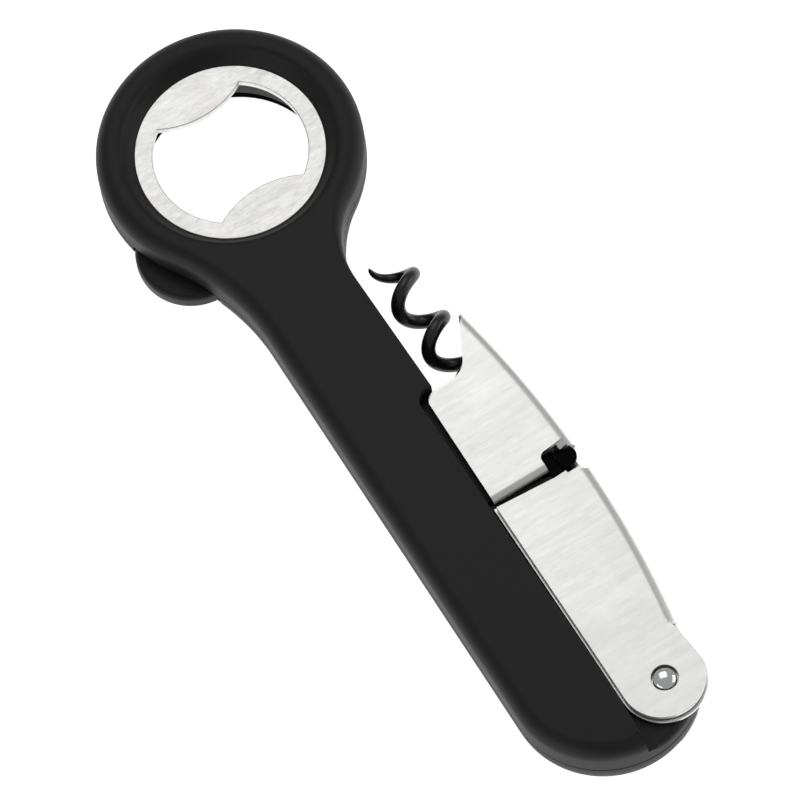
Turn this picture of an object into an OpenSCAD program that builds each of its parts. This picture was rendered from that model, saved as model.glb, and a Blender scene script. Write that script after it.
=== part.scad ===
// Waiters corkscrew with a ring head: crown cap opener, press-in foil cutter,
// folding worm and a lever with two steps.
// It lies on its back. In plan, +X runs from the ring head to the foot and +Y is the lever
// side; +Z is the front. Plan positions are measured from the centre of the ring head, and
// in_place() then moves everything so that the origin is under the middle of the whole tool.

/* [Ring head] */
// Outer radius of the ring head
head_r = 26; // [25:0.1:27]
// Radius of the bottle neck socket
socket_r = 17.5; // [17:0.1:17.5]
// Radius of the crown cap hole in the opener plate
cap_hole_r = 15.1; // [14.8:0.1:15.4]
// Outer radius of the opener plate
plate_r = 18.6; // [18.4:0.1:18.8]
// Thickness of the opener plate
plate_t = 1.6; // [1.2:0.1:2]
// Depth of the opener plate's top under the front face
plate_drop = 3.2; // [2.4:0.1:3.4]
// Distance from the hole's centre to the apex of each cap tooth
tooth_reach = 9.4; // [9:0.1:10]
// Radius of the curved lip of each cap tooth
tooth_r = 18; // [16:0.5:20]

/* [Handle] */
// Thickness of the handle from back face to front face
thick = 16; // [15.5:0.1:16.5]
// Height of the joint line between the two grip halves
split_z = 9; // [9:0.1:9.4]
// Distance from the head's centre to the centre of the round foot
foot_x = 133.7; // [133.4:0.1:134]
// Sideways place of the round foot's centre
foot_y = 1.3; // [1.1:0.1:1.5]
// Radius of the round foot
foot_r = 18.7; // [18.5:0.1:18.9]
// Edge rounding on the front of the grip
front_round = 3.2; // [2.5:0.1:3.5]
// Edge rounding on the back of the grip
back_round = 8; // [7:0.1:8.4]
// Straight edge of the worm bay
bay_y = 5.4; // [5:0.1:5.6]

/* [Lever] */
// Width of the lever over its outer skin
lever_w = 13; // [12.8:0.1:13.2]
// Sheet thickness of the outer cover
cover_t = 0.8; // [0.7:0.05:0.9]
// Sheet thickness of the folded channel under the cover
channel_t = 1.2; // [1:0.05:1.2]
// Sheet thickness of the tip section
tip_t = 1; // [0.9:0.05:1.1]
// Radius of the lever's long curved back, seen in plan
lever_back_r = 227; // [226:0.5:228]
// Bend radius where the sheet turns from the back into the sides
bend_r = 1.5; // [1.3:0.1:1.6]
// Radius of the lever pivot rivet
rivet_r = 2; // [1.8:0.1:2]

/* [Worm] */
// Outer diameter of the worm
worm_d = 9.3; // [9:0.1:9.4]
// Wire diameter of the worm
wire_d = 2.8; // [2.6:0.1:3]
// Distance between two turns of the worm
worm_pitch = 11.1; // [10.8:0.1:11.4]
// Number of full turns from the point to the straight shank
worm_turns = 4.5; // [4.25:0.25:4.5]

/* [Foil cutter] */
// Radius of the thumb lobe
lobe_r = 11; // [10.8:0.1:11]
// Thickness of the cutter arm
arm_t = 4; // [3.8:0.1:4]
// Radius of the cutting wheels
wheel_r = 3; // [2.8:0.1:3]

/* [Hidden] */
$fn = 96;

fit = 0.02;                            // gap at a press fit or a sheet laid on a sheet
run = 0.05;                            // gap at a running fit
eps = 0.01;

// The neck blends between the ring head and the straight sides
lower_neck_r = 45.7;
lower_neck = [38.06, -sqrt(pow(head_r + lower_neck_r, 2) - pow(38.06, 2))];
upper_neck_r = 19.4;
upper_neck = [38.06, bay_y + upper_neck_r];
upper_neck_a = atan2(upper_neck[1], upper_neck[0]);
lower_neck_a = atan2(lower_neck[1], lower_neck[0]);
foot_top_y = 16.6;                     // flat top of the foot, under the lever
foot_top_a = asin((foot_top_y - foot_y) / foot_r);

// The middle of the whole tool in plan
lobe = [11.3, -16.2];
mid = [(foot_x + foot_r - head_r) / 2, (head_r + lobe[1] - lobe_r) / 2];

// Levels through the thickness, each as a distance above or below the middle of the lever
mid_z = thick / 2;
cover_half = lever_w / 2;
channel_half = cover_half - cover_t - fit;
channel_in_half = cover_half - cover_t - channel_t;
tip_in_half = cover_half - tip_t;
shelf_half = channel_in_half - 0.3;
core_half = 2.4;
clevis_half = 4;
clevis_gap_half = 2.1;
hub_half = 2;
plate_z = thick - plate_drop - plate_t; // underside of the opener plate

// Places of the pivots in plan
lever_pivot = [141.8, 10.2];
worm_pivot = [97, 13.2];
hinge = [91.4, 19.5];
knuckle_r = 1.5;
hinge_pin_r = 0.75;
barrel_half = 4.7;                      // half the length of the hinge's pin
back_centre = [92.7, -204.5];          // centre of the lever's curved back
worm_pin_r = 1.5;
hub_r = 4.4;
bush_r = 3.2;
screws = [[44, -5], [85, -6], [121, -9]];
screw_r = 1.1;

// Foil cutter
arm_z = 4.6;
foil_pivot = [-8.2, -20];
foil_pin_r = 1.2;
arm_hub_r = 3;
arm_in_r = 18.2;                       // the arm keeps outside this circle at rest
arm_out_r = 24.6;
press_angle = 9;
wheel_z = 6.6;
wheel_at = 20.7;                       // distance of the wheel centres from the head's centre
wheel_angles = [-72, -38];
axle_r = 0.6;

function polar(r, a) = [r * cos(a), r * sin(a)];

// One stretch of the grip's outline: a run of [point, outward normal, share of the rounding].
// side is 1 for an outward curve and -1 for a hollow one.
function stretch(c, r, a0, a1, steps, first, last, side, share0, share1) =
    [for (i = [first:last]) let (t = i / steps, a = a0 + (a1 - a0) * t)
        [c + polar(r, a), polar(side, a), share0 + (share1 - share0) * t]];

// The outline, counterclockwise from the upper neck, in four runs. Only the rounded edges take
// a share of the rounding; the edges of the worm bay stay crisp.
head_run = stretch([0, 0], head_r, upper_neck_a, 360 + lower_neck_a, 44, 0, 44, 1, 1, 1);
lower_neck_run = stretch(lower_neck, lower_neck_r, 180 + lower_neck_a, 90, 8, 1, 8, -1, 1, 1);
foot_run = concat(
    stretch([foot_x, foot_y], foot_r, -90, foot_top_a, 20, 0, 20, 1, 1, 1),
    [for (p = [[111, foot_top_y], [108, 14.5], [106.8, 7.5], [104.8, bay_y]]) [p, [0, 1], 0]]);
upper_neck_run = stretch(upper_neck, upper_neck_r, 270, 180 + upper_neck_a, 10, 0, 9, -1, 0, 1);
grip_outline = concat(head_run, lower_neck_run, foot_run, upper_neck_run);

// Where each run starts, and the middles that the flat faces are fanned from
neck_i = len(head_run);
foot_i = neck_i + len(lower_neck_run);
upper_i = foot_i + len(foot_run);
outline_n = len(grip_outline);
head_loop = [for (i = [0:neck_i - 1]) i];
neck_loop = concat([for (i = [neck_i - 1:foot_i - 1]) i], [for (i = [upper_i:outline_n]) i % outline_n]);
foot_loop = [for (i = [foot_i - 1:upper_i]) i];
fan_middles = [[0, 0], [30, -3], [120, 0]];

// Levels of the rounded edges: [how far the outline draws in, height]
front_levels = concat([[0, split_z]],
    [for (a = [0:18:90]) [front_round * (1 - cos(a)), thick - front_round * (1 - sin(a))]]);
back_levels = concat(
    [for (a = [90:-15:0]) [back_round * (1 - cos(a)), back_round * (1 - sin(a))]],
    [[0, split_z]]);

module in_place() translate([-mid[0], -mid[1], 0]) children();

module at(p, z = 0) translate([p[0], p[1], z]) children();

// Both faces of the lever side: the children and their mirror image in the middle plane
module both_faces() {
    children();
    translate([0, 0, 2 * mid_z]) mirror([0, 0, 1]) children();
}

// Triangles of one flat face: each part of it is fanned from its own middle
function flat_face(first, middle, upwards) =
    [for (part = [0:2]) let (loop = [head_loop, neck_loop, foot_loop][part], n = len(loop))
        for (i = [0:n - 1]) let (a = first + loop[i], b = first + loop[(i + 1) % n])
            upwards ? [middle + part, b, a] : [middle + part, a, b]];

module rounded_slab(levels) {
    n = outline_n;
    top = len(levels) - 1;
    rings = [for (l = levels) for (s = grip_outline)
        [s[0][0] - s[1][0] * s[2] * l[0], s[0][1] - s[1][1] * s[2] * l[0], l[1]]];
    middles = [for (l = [levels[0], levels[top]]) for (m = fan_middles) [m[0], m[1], l[1]]];
    sides = [for (k = [0:top - 1]) for (i = [0:n - 1]) let (j = (i + 1) % n)
        each [[k * n + i, (k + 1) * n + i, (k + 1) * n + j], [k * n + i, (k + 1) * n + j, k * n + j]]];
    polyhedron(concat(rings, middles),
               concat(flat_face(0, len(rings), false), sides, flat_face(top * n, len(rings) + 3, true)));
}

// Plan of the shelf that the lever folds down onto
module shelf_plan() {
    corner_r = 2.6;
    c = [65.4 + corner_r, 1.45 + corner_r];
    polygon([[65.4, 40], [65.4, c[1]], c, [c[0], 1.45], [141, 0.6], [153, -0.2], [170, -0.2],
             [170, 40]]);
    at(c) circle(r = corner_r);
}

// Plan of the metal core: a bar under the trunk, a round under the foot, a boss at the pivot
module core_plan(gap = 0) {
    intersection() {
        at([foot_x, foot_y]) circle(r = 14 + gap);
        translate([foot_x - 24, -20]) square([50, 34 + gap]);
    }
    polygon([[31 - gap, -10 - gap], [foot_x, -12.6 - gap], [foot_x, 3 + gap], [31 - gap, 3 + gap]]);
    at(lever_pivot) circle(r = bush_r + 1.2 + gap);
}

// Plan of one cheek of the fork that carries the worm
module cheek_plan(gap = 0) {
    polygon([[91.5 - gap, -6 - gap], [102.5 + gap, -6 - gap], [worm_pivot[0] + 4.6 + gap, 13.2],
             [worm_pivot[0] - 4.6 - gap, 13.2]]);
    at(worm_pivot) circle(r = 4.6 + gap);
}

// Plan of the foil cutter's arm with its thumb lobe, turned by the press angle
module arm_plan(turn = 0, gap = 0) {
    at(foil_pivot) rotate(turn) at(-foil_pivot) difference() {
        union() {
            at(foil_pivot) circle(r = arm_hub_r + gap);
            at(lobe) circle(r = lobe_r + gap);
            intersection() {
                circle(r = arm_out_r + gap);
                polygon([[0, 0], polar(45, -112), polar(45, -90), polar(45, -60)]);
            }
        }
        circle(r = arm_in_r - gap);
    }
}

// Room for the arm through its whole travel, and the open slot beyond the lobe
module arm_room_plan() {
    for (turn = [0:3:press_angle]) arm_plan(turn, 0.3);
    difference() {
        translate([8, -34]) square([15.6, 20]);
        circle(r = arm_in_r);
    }
}

// What both grip halves leave open
module grip_hollows() {
    translate([0, 0, -1]) cylinder(r = socket_r, h = thick + 2);
    both_faces() translate([0, 0, mid_z + shelf_half]) linear_extrude(thick) shelf_plan();
    translate([0, 0, mid_z - core_half - run]) linear_extrude(2 * (core_half + run)) core_plan(run);
    translate([0, 0, mid_z - clevis_half - run]) linear_extrude(2 * (clevis_half + run))
        cheek_plan(0.3);
    translate([90.9, 1.9, mid_z - shelf_half - 0.5]) cube([12.2, 20, 2 * shelf_half + 1]);
    at(lever_pivot, -1) cylinder(r = bush_r + fit, h = thick + 2);
    at(foil_pivot, 2.5 - fit) cylinder(r = foil_pin_r + fit, h = 10.5 + 2 * fit);
    for (s = screws) at(s, -1) cylinder(r = screw_r + fit, h = 14);
}

module front_grip() {
    color("#2b2b2c") in_place() difference() {
        rounded_slab(front_levels);
        grip_hollows();
        // seat of the opener plate, and the dished collar above it
        translate([0, 0, plate_z - fit]) cylinder(r = plate_r + run, h = plate_t + 2 * fit);
        translate([0, 0, plate_z + plate_t])
            cylinder(r1 = plate_r + run, r2 = plate_r + 2.2, h = plate_drop + eps);
        // pocket of the foil cutter's return spring
        at(foil_pivot, split_z - 1) cylinder(r = 2.6, h = 4);
    }
}

module back_grip() {
    color("#2b2b2c") in_place() difference() {
        rounded_slab(back_levels);
        grip_hollows();
        // flared mouth of the bottle neck socket
        translate([0, 0, -eps]) cylinder(r1 = socket_r + 2.8, r2 = socket_r, h = 3);
        translate([0, 0, arm_z - 0.3]) linear_extrude(split_z) arm_room_plan();
        for (s = screws) at(s, -eps) cylinder(r1 = 2.9, r2 = screw_r, h = 2);
    }
}

module core_frame() {
    color("#1f2022") in_place() difference() {
        union() {
            translate([0, 0, mid_z - core_half]) linear_extrude(2 * core_half) core_plan();
            both_faces() translate([0, 0, mid_z + clevis_gap_half])
                linear_extrude(clevis_half - clevis_gap_half) cheek_plan();
        }
        at(lever_pivot, -1) cylinder(r = bush_r + fit, h = thick + 2);
        at(worm_pivot, -1) cylinder(r = worm_pin_r + fit, h = thick + 2);
        for (s = screws) at(s, -1) cylinder(r = screw_r + 0.5, h = thick + 2);
    }
}

// Three countersunk screws, driven from the back
module grip_screws() {
    color("#55585b") in_place() for (s = screws) at(s) difference() {
        union() {
            translate([0, 0, 0.4]) cylinder(r1 = 2.4, r2 = screw_r, h = 1.5);
            translate([0, 0, 0.4]) cylinder(r = screw_r, h = 12);
        }
        for (turn = [0, 90]) rotate(turn) translate([-1.5, -0.3, 0]) cube([3, 0.6, 1.2]);
    }
}

module opener_plate() {
    color("#d9dadb") in_place() translate([0, 0, plate_z]) linear_extrude(plate_t) difference() {
        circle(r = plate_r);
        difference() {
            circle(r = cap_hole_r);
            for (side = [-1, 1]) translate([side * (tooth_reach + tooth_r), 0]) circle(r = tooth_r);
        }
    }
}

module pivot_bush() {
    color("#b08d57") in_place() at(lever_pivot, mid_z - shelf_half) difference() {
        cylinder(r = bush_r, h = 2 * shelf_half);
        translate([0, 0, -1]) cylinder(r = rivet_r + fit, h = 2 * shelf_half + 2);
    }
}

// Solid rivet with a low domed head at both ends
module lever_rivet() {
    head_z = mid_z + channel_half + fit;
    color("#c8cacc") in_place() at(lever_pivot) {
        translate([0, 0, 2 * mid_z - head_z - 0.1])
            cylinder(r = rivet_r, h = 2 * (head_z + 0.1 - mid_z));
        both_faces() translate([0, 0, head_z]) rotate_extrude() intersection() {
            square([2.4, 1.35]);
            translate([0, -1.65]) circle(r = 3);
        }
    }
}

module lever_washers() {
    color("#1b1b1c") in_place() both_faces() at(lever_pivot, mid_z + shelf_half + fit) difference() {
        cylinder(r = 5.2, h = 0.3 - 2 * fit);
        translate([0, 0, -1]) cylinder(r = rivet_r + run, h = 2);
    }
}

module worm_pin() {
    color("#b9bbbd") in_place() at(worm_pivot, mid_z - clevis_half)
        cylinder(r = worm_pin_r, h = 2 * clevis_half);
}

// Turned eye that holds the worm's shank and swings on the pin
module worm_hub() {
    color("#1d1d1e") in_place() difference() {
        union() {
            at(worm_pivot, mid_z - hub_half) cylinder(r = hub_r, h = 2 * hub_half);
            translate([worm_pivot[0] - 8, worm_pivot[1], mid_z]) rotate([0, 90, 0])
                cylinder(r = hub_half - 0.1, h = 7);
        }
        at(worm_pivot, 0) cylinder(r = worm_pin_r + run, h = thick);
        translate([worm_pivot[0] - 9, worm_pivot[1], mid_z]) rotate([0, 90, 0])
            cylinder(r = wire_d / 2 + run, h = 5.5);
    }
}

// The worm: a right-hand helix whose last turn closes in to the shank on the axis
worm_r = (worm_d - wire_d) / 2;
worm_tip_x = 34.1;
worm_end_x = worm_tip_x + worm_turns * worm_pitch;
shank_end_x = worm_pivot[0] - 4;
steps_per_turn = 20;
blend = 0.45;                          // share of a turn over which the coil meets the axis

function smooth(t) = let (u = min(1, max(0, t))) u * u * (3 - 2 * u);
function coil_r(turn) = worm_r * (1 - smooth((turn - worm_turns + blend) / blend));
function coil_at(turn) = [worm_tip_x + turn * worm_pitch,
                          worm_pivot[1] + coil_r(turn) * cos(360 * turn + 180),
                          mid_z + coil_r(turn) * sin(360 * turn + 180)];
function wire_r(turn) = wire_d / 2 * min(1, 0.12 + 0.88 * sqrt(max(0, turn) / 0.55));
function unit(v) = v / norm(v);

// Closed tube round a run of points, each with its own radius
module tube(path, radii, sides) {
    n = len(path);
    rings = [for (i = [0:n - 1])
        let (d = unit(path[min(n - 1, i + 1)] - path[max(0, i - 1)]),
             s = unit(cross(d, [0, 0.3, 1])), u = cross(s, d))
        [for (k = [0:sides - 1]) let (a = 360 * k / sides)
            path[i] + radii[i] * (cos(a) * s + sin(a) * u)]];
    walls = [for (i = [0:n - 2]) for (k = [0:sides - 1]) let (j = (k + 1) % sides)
        each [[i * sides + k, (i + 1) * sides + j, i * sides + j],
              [i * sides + k, (i + 1) * sides + k, (i + 1) * sides + j]]];
    polyhedron([for (r = rings) each r],
               concat([[for (k = [0:sides - 1]) k]], walls,
                      [[for (k = [sides - 1:-1:0]) (n - 1) * sides + k]]));
}

module worm() {
    turns = [for (i = [0:worm_turns * steps_per_turn]) i / steps_per_turn];
    path = concat([for (t = turns) coil_at(t)], [[shank_end_x, worm_pivot[1], mid_z]]);
    radii = concat([for (t = turns) wire_r(t)], [wire_d / 2]);
    color("#151516") in_place() tube(path, radii, 10);
}

// A sheet folded into a channel, swept round the lever's curved back
module swept_channel(back_r, half, wall, bend) {
    depth = 24;
    translate([back_centre[0], back_centre[1], mid_z]) rotate_extrude($fn = 720) difference() {
        union() {
            translate([back_r - depth, -half]) square([depth - bend, 2 * half]);
            translate([back_r - bend, bend - half]) square([bend, 2 * (half - bend)]);
            for (side = [-1, 1]) translate([back_r - bend, side * (half - bend)]) circle(r = bend);
        }
        translate([back_r - depth - 1, wall - half]) square([depth + 1 - wall, 2 * (half - wall)]);
    }
}

// Plan of one ear of the lever, round the pivot rivet
module ear_plan(edge) {
    at([141.6, 9.8]) circle(r = 8.3 + edge);
    polygon([[130.5, 1.75 - edge], [141.6, 1.5 - edge], [141.6, 18.1 + edge], [133, 17.4],
             [132.3, 17.2], [130.5, 17]]);
}

// Plan of the lower section's sides. edge is how far the channel peeps out past the cover.
module lower_plan(edge, seam, top_x) {
    polygon([[top_x, 26], [top_x, 20.6], [95, 20.6], [95, 17.7], [94.4, 17.6], [94.5 - seam, 15],
             [93.6 - seam, 2.4 - edge], [132.3, 1.7 - edge], [132.3, 26]]);
}

// Plan of the ear on the back, which is trimmed so that it does not stand out past the foot
module back_ear_plan(edge) {
    intersection() {
        ear_plan(edge);
        union() {
            at([foot_x - 1.6, foot_y + 0.7]) circle(r = foot_r - 0.1);
            translate([120, -5]) square([17, 40]);
        }
    }
}

// Sides of one lower section layer with its ears, drilled for the rivet
module lower_layer(back_r, half, wall, bend, edge, seam, top_x, hole_r) {
    difference() {
        union() {
            intersection() {
                swept_channel(back_r, half, wall, bend);
                linear_extrude(thick) lower_plan(edge, seam, top_x);
            }
            translate([0, 0, mid_z + half - wall]) linear_extrude(wall) ear_plan(edge);
            translate([0, 0, mid_z - half]) linear_extrude(wall) back_ear_plan(edge);
        }
        at(lever_pivot, -1) cylinder(r = hole_r, h = thick + 2);
    }
}

module lever_channel() {
    color("#cfd0d1") in_place() {
        lower_layer(lever_back_r - cover_t - fit, channel_half, channel_t - fit, 0.9, 0.45, 0.5, 96,
                    rivet_r + run);
        // tongue of the back, curled round the hinge pin
        difference() {
            translate([0, 0, mid_z - 3.5]) linear_extrude(7) {
                at(hinge) circle(r = knuckle_r);
                polygon([[91.4, 21], [93.2, 20.8], [96.4, 21.6], [98, 21.62], [98, 20.6], [96.4, 20.5],
                         [93.4, 19.7], [92.6, 18.8]]);
            }
            at(hinge, -1) cylinder(r = hinge_pin_r + fit, h = thick + 2);
        }
    }
}

module lever_cover() {
    color("#e3e3e1") in_place()
        lower_layer(lever_back_r, cover_half, cover_t, bend_r, 0, 0, 95.9, 2.7);
}

module hinge_pin() {
    color("#b9bbbd") in_place() at(hinge, mid_z - barrel_half)
        cylinder(r = hinge_pin_r, h = 2 * barrel_half);
}

// Plan of the nylon block that fills the lever behind the hinge's window
module block_plan() {
    polygon([[88.8, 15.1], [96.2, 15.1], [96.2, 19.3], [93.2, 19.3], [93.2, 17.7], [88.8, 17.7]]);
}

// Nylon block under the hinge; it keeps clear of the fork's round cheeks
module hinge_block() {
    color("#161617") in_place() {
        translate([0, 0, mid_z - shelf_half]) linear_extrude(2 * shelf_half) difference() {
            block_plan();
            at(worm_pivot) circle(r = 4.95);
        }
        both_faces() translate([0, 0, mid_z + clevis_half + 0.1]) {
            linear_extrude(0.3) block_plan();
            linear_extrude(1.1) translate([88.8, 15.1]) square([4.9, 2.3]);
        }
    }
}

// Nylon plates that cover the barrel's ends and fill the hinge's window
module hinge_caps() {
    color("#161617") in_place() both_faces() translate([0, 0, mid_z + barrel_half + fit])
        linear_extrude(0.75) {
            at(hinge) circle(r = 2);
            polygon([[89.2, 17.75], [93.5, 17.75], [93.3, 19.6], [89.5, 19.6]]);
        }
}

// Plan of the tip section: nose, step for the bottle's lip, and the notch round the hinge
module tip_plan() {
    difference() {
        polygon([[54.3, 26], [54.3, 18.9], [57, 17], [60, 15.2], [62.7, 14], [64.6, 12.7],
                 [65.7, 11], [66, 9], [66, 5.2], [66.6, 4], [68, 3.25], [92.4, 2.6], [92.4, 14.9],
                 [90.2, 26]]);
        translate([90.1, 16.4]) circle(r = 1.5, $fn = 48);
        translate([90.1, 14.9]) square([4, 12]);
        translate([88.6, 16.4]) square([4, 4.2]);
    }
}

module lever_tip() {
    color("#e3e3e1") in_place() {
        intersection() {
            swept_channel(lever_back_r, cover_half, tip_t, bend_r);
            linear_extrude(thick) tip_plan();
        }
        // outer knuckles, one on each side of the channel's tongue
        both_faces() difference() {
            translate([0, 0, mid_z + 3.6]) linear_extrude(barrel_half - 0.1 - 3.6) {
                at(hinge) circle(r = knuckle_r);
                polygon([[86.5, 21.4], [86.5, 22.2], [90, 22.2], [91.5, 20.9], [90.4, 19]]);
            }
            at(hinge, -1) cylinder(r = hinge_pin_r + run, h = thick + 2);
        }
    }
}

module foil_arm() {
    color("#2b2b2c") in_place() difference() {
        translate([0, 0, arm_z]) linear_extrude(arm_t) arm_plan();
        at(foil_pivot, 0) cylinder(r = foil_pin_r + run, h = thick);
        for (a = wheel_angles) at(polar(wheel_at, a)) {
            cylinder(r = axle_r + fit, h = thick);
            translate([0, 0, wheel_z - 0.6]) cylinder(r = wheel_r + 0.3, h = 1.2);
        }
    }
}

module foil_pin() {
    color("#b9bbbd") in_place() at(foil_pivot, 2.5) cylinder(r = foil_pin_r, h = 10.5);
}

// Return spring: three turns of wire round the foil pin
module foil_spring() {
    coils = 3;
    steps = 14;
    path = [for (i = [0:coils * steps]) let (a = 360 * i / steps)
        [foil_pivot[0] + 2 * cos(a), foil_pivot[1] + 2 * sin(a), split_z + 0.5 + 0.65 * i / steps]];
    color("#a7a9ab") in_place() tube(path, [for (p = path) 0.28], 6);
}

module wheel_axles() {
    color("#b9bbbd") in_place() for (a = wheel_angles) at(polar(wheel_at, a), arm_z + 0.1)
        cylinder(r = axle_r, h = arm_t - 0.2);
}

// Cutting wheel, ground to an edge from both sides
module cutter_wheel(angle) {
    color("#d0d2d3") in_place() at(polar(wheel_at, angle), wheel_z) rotate_extrude()
        polygon([[axle_r + run, -0.45], [wheel_r - 1, -0.45], [wheel_r, -0.05], [wheel_r, 0.05],
                 [wheel_r - 1, 0.45], [axle_r + run, 0.45]]);
}

module cutter_wheel_left() cutter_wheel(wheel_angles[0]);
module cutter_wheel_right() cutter_wheel(wheel_angles[1]);

front_grip();
back_grip();
core_frame();
grip_screws();
opener_plate();
pivot_bush();
lever_rivet();
lever_washers();
worm_pin();
worm_hub();
worm();
lever_channel();
lever_cover();
hinge_pin();
hinge_block();
hinge_caps();
lever_tip();
foil_arm();
foil_pin();
foil_spring();
wheel_axles();
cutter_wheel_left();
cutter_wheel_right();
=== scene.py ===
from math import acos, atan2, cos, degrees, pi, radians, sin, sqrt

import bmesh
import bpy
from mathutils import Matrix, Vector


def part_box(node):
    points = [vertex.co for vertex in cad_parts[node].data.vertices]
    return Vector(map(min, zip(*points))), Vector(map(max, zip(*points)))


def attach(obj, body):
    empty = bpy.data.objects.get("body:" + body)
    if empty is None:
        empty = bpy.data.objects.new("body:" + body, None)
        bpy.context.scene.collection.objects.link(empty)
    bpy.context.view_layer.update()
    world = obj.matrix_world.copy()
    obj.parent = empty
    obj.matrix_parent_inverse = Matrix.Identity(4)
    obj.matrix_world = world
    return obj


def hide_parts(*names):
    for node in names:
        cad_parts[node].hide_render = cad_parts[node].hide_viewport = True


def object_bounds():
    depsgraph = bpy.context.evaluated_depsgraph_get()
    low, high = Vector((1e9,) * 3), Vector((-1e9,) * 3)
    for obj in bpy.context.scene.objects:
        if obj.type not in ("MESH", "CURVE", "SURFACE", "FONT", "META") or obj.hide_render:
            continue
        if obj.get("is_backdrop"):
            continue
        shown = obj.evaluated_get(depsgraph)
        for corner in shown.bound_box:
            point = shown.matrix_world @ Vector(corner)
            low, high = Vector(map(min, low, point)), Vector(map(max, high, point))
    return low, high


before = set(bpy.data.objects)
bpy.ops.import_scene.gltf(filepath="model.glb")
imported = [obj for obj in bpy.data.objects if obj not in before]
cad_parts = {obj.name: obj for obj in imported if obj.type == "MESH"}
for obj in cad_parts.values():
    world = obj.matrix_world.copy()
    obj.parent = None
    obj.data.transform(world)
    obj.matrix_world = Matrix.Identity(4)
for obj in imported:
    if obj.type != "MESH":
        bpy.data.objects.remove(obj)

# %% [markdown]
# A waiters corkscrew lies on its back. Two black plastic grip halves hold a metal core, a steel
# opener plate sits in the ring head, and a folding steel lever covers the worm. Its sizes are
# already settled in the frame that was just loaded, so this lesson only builds finer skins over
# some of its parts, gives every part a finish, and lights the result.
#
# The box of the loaded parts is kept, because the skins have to fit inside it.

solid_box = [list(corner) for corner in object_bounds()]
print("box of the loaded parts, in mm:", [round(1000 * v, 1) for c in solid_box for v in c])

# %% [markdown]
# A maker measures this tool from the centre of its ring head, in millimetres, with X towards the
# foot and Y towards the lever. Drawing in the same numbers keeps every radius readable. One
# matrix then carries a finished mesh into the frame, which is in metres and has its origin
# under the middle of the tool.

# %% Find the ring's centre and make the matrix
plate_low, plate_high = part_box("opener_plate")
ring_x = (plate_low.x + plate_high.x) / 2
ring_y = (plate_low.y + plate_high.y) / 2
MIDDLE_Z = 8


def to_frame(height=0):
    """From millimetres round the ring's centre to metres in the frame."""
    return Matrix.Translation((ring_x, ring_y, height / 1000)) @ Matrix.Diagonal((0.001, 0.001, 0.001, 1))


print("ring centre at", round(1000 * ring_x, 2), round(1000 * ring_y, 2), "mm")

# %% [markdown]
# Every piece ends the same way. Doubled points are merged, the faces are turned outwards, and
# the edges that are sharper than 32 degrees are marked, so that a curve shades smoothly while a
# cut edge stays crisp. A Weighted Normal modifier keeps the large flat faces flat in the light.

# %% Turn a bmesh into a piece
SHARP = radians(32)


def mark_edges(bm):
    """Smooth faces, with the sharper edges marked."""
    for face in bm.faces:
        face.smooth = True
    for edge in bm.edges:
        edge.smooth = edge.calc_face_angle(0) < SHARP


def piece_from(bm, name, height=0, outwards=True):
    """Makes an object of a bmesh that was drawn in millimetres."""
    bm.transform(to_frame(height))
    bmesh.ops.remove_doubles(bm, verts=bm.verts, dist=1e-6)
    if outwards:
        bmesh.ops.recalc_face_normals(bm, faces=bm.faces)
    mark_edges(bm)
    mesh = bpy.data.meshes.new(name)
    bm.to_mesh(mesh)
    bm.free()
    piece = bpy.data.objects.new(name, mesh)
    bpy.context.scene.collection.objects.link(piece)
    print(name, "has", len(mesh.polygons), "faces")
    return piece


def modify(piece, kind, **settings):
    """Adds one modifier to a piece."""
    modifier = piece.modifiers.new(kind.lower(), kind)
    for key, value in settings.items():
        setattr(modifier, key, value)
    return modifier


def even_light(piece):
    """Flat faces keep flat shading beside rounded edges."""
    modify(piece, "WEIGHTED_NORMAL", keep_sharp=True, weight=60)


# %% [markdown]
# Most parts of this tool are flat shapes with a thickness, so they start as an outline. The pen
# below draws one: a straight stroke extrudes the last point, and an arc spins it. Each stroke
# also notes the radius of the rounded edge that will run along it.

# %% A pen that draws outlines
CRISP = 0.35


class Pen:
    """Draws an outline in plan and notes how round each stroke's edge will be."""

    def __init__(self, bm, start):
        self.bm = bm
        self.tip = start
        self.points = [start]
        self.radii = []

    def line(self, x, y, radius=CRISP):
        made = bmesh.ops.extrude_vert_indiv(self.bm, verts=[self.tip])
        self.tip = made["verts"][0]
        self.tip.co.xy = (x, y)
        self.points.append(self.tip)
        self.radii.append(radius)
        return self

    def arc(self, x, y, angle, steps, radius=CRISP, last=None):
        centre = (x, y, self.tip.co.z)
        ending = radius if last is None else last
        for step in range(steps):
            made = bmesh.ops.spin(self.bm, geom=[self.tip], cent=centre, axis=(0, 0, 1),
                                  angle=radians(angle / steps), steps=1)
            self.tip = [v for v in made["geom_last"] if isinstance(v, bmesh.types.BMVert)][0]
            self.points.append(self.tip)
            self.radii.append(radius + (ending - radius) * (step + 0.5) / steps)
        return self

    def close(self, radius=CRISP):
        self.bm.edges.new((self.tip, self.points[0]))
        self.radii.append(radius)
        return self


def start_pen(x, y, z=0):
    """A pen on a new sheet."""
    bm = bmesh.new()
    return Pen(bm, bm.verts.new((x, y, z)))


# %% [markdown]
# A rounded edge is a stack of outlines, each one drawn in a little more than the one below. How
# much depends on the stroke: the ring and the foot are round, and the edges beside the lever are
# crisp. At a corner both strokes pull on the same point, so it moves to where the two drawn-in
# strokes cross.

# %% Draw an outline in, and lift it
def taken(radius, depth):
    """How far a rounded edge lies back at a depth under the face."""
    if depth >= radius:
        return 0
    return radius - sqrt(radius ** 2 - (radius - depth) ** 2)


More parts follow.
